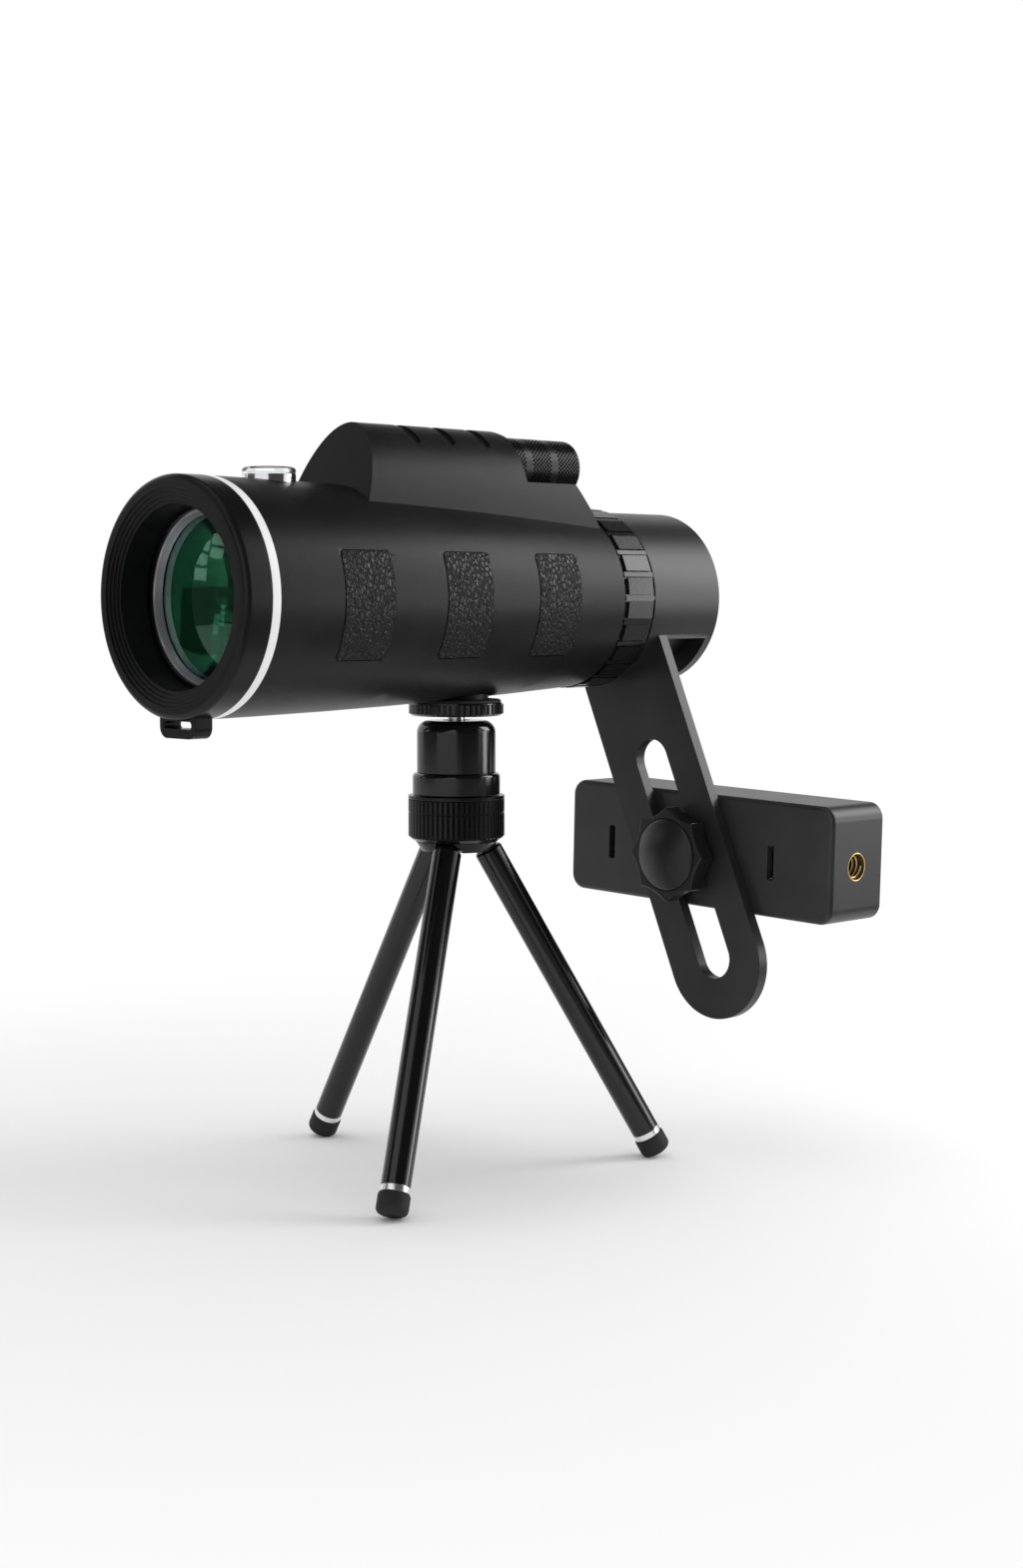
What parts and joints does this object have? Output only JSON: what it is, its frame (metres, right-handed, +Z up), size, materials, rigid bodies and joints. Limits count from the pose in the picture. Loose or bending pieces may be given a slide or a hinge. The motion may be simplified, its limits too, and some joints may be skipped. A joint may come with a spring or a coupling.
{
  "type": "spotting scope",
  "caption": "Handheld spotting scope on a folding table tripod with a ball head, a focus wheel, and a slotted arm whose sprung clamp holds a phone behind the eyepiece.",
  "frame": {"origin": "on the optical axis, at the mouth of the objective hood's bore", "axes": "+Y back along the optical axis towards the eyepiece, +Z up, +X to the side the camera arm leans to"},
  "size_m": [0.1307, 0.1772, 0.1852],
  "materials": {
    "matt_black_body": "fine matt grain",
    "satin_black_ring": "satin black",
    "silver_trim": "satin",
    "black_anodised": "matt black",
    "coated_glass": "green anti-reflection coating",
    "clear_dome": "polished clear",
    "inner_plastic": "matt black",
    "steel": "bright",
    "black_rubber": "matt",
    "grained_rubber": "leather grain",
    "brass": "turned",
    "chrome_case": "polished",
    "compass_paint": "printed",
    "gloss_black_plastic": "gloss",
    "satin_black_plastic": "satin",
    "black_leg_paint": "gloss black",
    "arm_plastic": "satin black",
    "clamp_plastic": "satin black"
  },
  "bodies": {
    "base": {"tripod_hub": "satin_black_plastic", "neck_ring": "gloss_black_plastic", "ball_cap": "gloss_black_plastic", "leg_pins": "steel"},
    "leg_1": {"leg_1_tube": "black_leg_paint", "leg_1_ring": "silver_trim", "leg_1_foot": "black_rubber"},
    "leg_2": {"leg_2_tube": "black_leg_paint", "leg_2_ring": "silver_trim", "leg_2_foot": "black_rubber"},
    "leg_3": {"leg_3_tube": "black_leg_paint", "leg_3_ring": "silver_trim", "leg_3_foot": "black_rubber"},
    "collar": {"lock_collar": "satin_black_plastic"},
    "seat": {"ball_seat": "satin_black_plastic"},
    "pan_ring": {"friction_ring": "satin_black_plastic"},
    "ball_stud": {"swivel_ball": "steel", "head_stud": "steel"},
    "lock_disc": {"lock_disc": "gloss_black_plastic", "platform_pad": "black_rubber"},
    "scope": {"barrel_shell": "matt_black_body", "objective_ring": "satin_black_ring", "trim_ring": "silver_trim", "objective_cell": "black_anodised", "objective_retainer": "black_anodised", "crown_lens": "coated_glass", "flint_lens": "coated_glass", "prism_holder": "inner_plastic", "penta_prism": "coated_glass", "roof_prism": "coated_glass", "guide_rods": "steel", "eye_tube": "inner_plastic", "eyecup": "black_rubber", "tripod_bushing": "brass", "compass_case": "chrome_case", "compass_dome": "clear_dome", "grip_pads": "grained_rubber"},
    "focus_wheel": {"focus_wheel": "satin_black_ring", "focus_screw": "steel"},
    "focus_carriage": {"focus_carriage": "inner_plastic", "focusing_lens": "coated_glass"},
    "compass_card": {"compass_card": "compass_paint"},
    "diopter": {"diopter_ring": "satin_black_ring"},
    "ocular": {"ocular_cell": "black_anodised", "field_lens": "coated_glass", "eye_lens": "coated_glass"},
    "arm": {"camera_arm": "arm_plastic", "sleeve_liner": "inner_plastic"},
    "slider": {"knob_screw": "steel"},
    "knob": {"star_knob": "gloss_black_plastic", "knob_cap": "gloss_black_plastic"},
    "clamp": {"clamp_housing": "clamp_plastic", "clamp_cover": "clamp_plastic", "clamp_pads": "black_rubber", "guide_bars": "steel", "thread_insert": "brass", "cover_screws": "steel", "jaw_spring": "steel"},
    "jaw": {"sliding_jaw": "clamp_plastic", "sliding_jaw_pad": "black_rubber"}
  },
  "joints": [
    {"name": "leg_1_fold", "type": "hinge", "parent": "base", "child": "leg_1", "pos_m": [0.0031, 0.09117, -0.0595], "axis": [-0.866, 0.5, 0], "range_deg": [0, 29.5]},
    {"name": "leg_2_fold", "type": "hinge", "parent": "base", "child": "leg_2", "pos_m": [0.0031, 0.08043, -0.0595], "axis": [0.866, 0.5, 0], "range_deg": [0, 29.5]},
    {"name": "leg_3_fold", "type": "hinge", "parent": "base", "child": "leg_3", "pos_m": [-0.0062, 0.0858, -0.0595], "axis": [0, -1, 0], "range_deg": [0, 29.5]},
    {"name": "collar_turn", "type": "hinge", "parent": "base", "child": "collar", "pos_m": [0, 0.0858, -0.054], "axis": [0, 0, 1], "range_deg": [0, 90]},
    {"name": "seat_slide", "type": "slide", "parent": "base", "child": "seat", "axis": [0, 0, 1], "range_m": [-0.0004, 0]},
    {"name": "head_pan", "type": "hinge", "parent": "base", "child": "pan_ring", "pos_m": [0, 0.0858, -0.0385], "axis": [0, 0, 1], "continuous": true},
    {"name": "head_tilt", "type": "hinge", "parent": "pan_ring", "child": "ball_stud", "pos_m": [0, 0.0858, -0.0385], "axis": [1, 0, 0], "range_deg": [-8, 8]},
    {"name": "lock_disc_turn", "type": "hinge", "parent": "ball_stud", "child": "lock_disc", "pos_m": [0, 0.0858, -0.0275], "axis": [0, 0, 1], "range_deg": [0, 270]},
    {"name": "scope_spin", "type": "hinge", "parent": "ball_stud", "child": "scope", "pos_m": [0, 0.0858, -0.02], "axis": [0, 0, 1], "continuous": true},
    {"name": "focus_turn", "type": "hinge", "parent": "scope", "child": "focus_wheel", "pos_m": [0, 0.11, 0.0331], "axis": [0, 1, 0], "range_deg": [-240, 240]},
    {"name": "focus_slide", "type": "slide", "parent": "scope", "child": "focus_carriage", "axis": [0, 1, 0], "range_m": [-0.004, 0.004]},
    {"name": "compass_turn", "type": "hinge", "parent": "scope", "child": "compass_card", "pos_m": [0, 0.0268, 0.0273], "axis": [0, 0, 1], "continuous": true},
    {"name": "diopter_turn", "type": "hinge", "parent": "scope", "child": "diopter", "pos_m": [0, 0.128, 0], "axis": [0, 1, 0], "range_deg": [-60, 60]},
    {"name": "diopter_slide", "type": "slide", "parent": "scope", "child": "ocular", "axis": [0, 1, 0], "range_m": [-0.002, 0.002]},
    {"name": "adapter_turn", "type": "hinge", "parent": "scope", "child": "arm", "pos_m": [0, 0.147, 0], "axis": [0, 1, 0], "continuous": true},
    {"name": "clamp_slot_slide", "type": "slide", "parent": "arm", "child": "slider", "axis": [-0.3955, 0, 0.9184], "range_m": [-0.0281, 0.0255]},
    {"name": "knob_turn", "type": "hinge", "parent": "slider", "child": "knob", "pos_m": [0.02816, 0.135, -0.06539], "axis": [0, 1, 0], "range_deg": [0, 360]},
    {"name": "clamp_turn", "type": "hinge", "parent": "slider", "child": "clamp", "pos_m": [0.02816, 0.145, -0.06539], "axis": [0, -1, 0], "range_deg": [-90, 55]},
    {"name": "jaw_slide", "type": "slide", "parent": "clamp", "child": "jaw", "axis": [0.9996, 0, -0.0279], "range_m": [0, 0.025], "stiffness_N_per_m": 70, "springref_m": -0.02}
  ],
  "couplings": [
    {"joint": "seat_slide", "follows": "collar_turn", "m_per_rad": -0.000254},
    {"joint": "focus_slide", "follows": "focus_turn", "m_per_rad": 0.000954},
    {"joint": "diopter_slide", "follows": "diopter_turn", "m_per_rad": 0.001909}
  ]
}
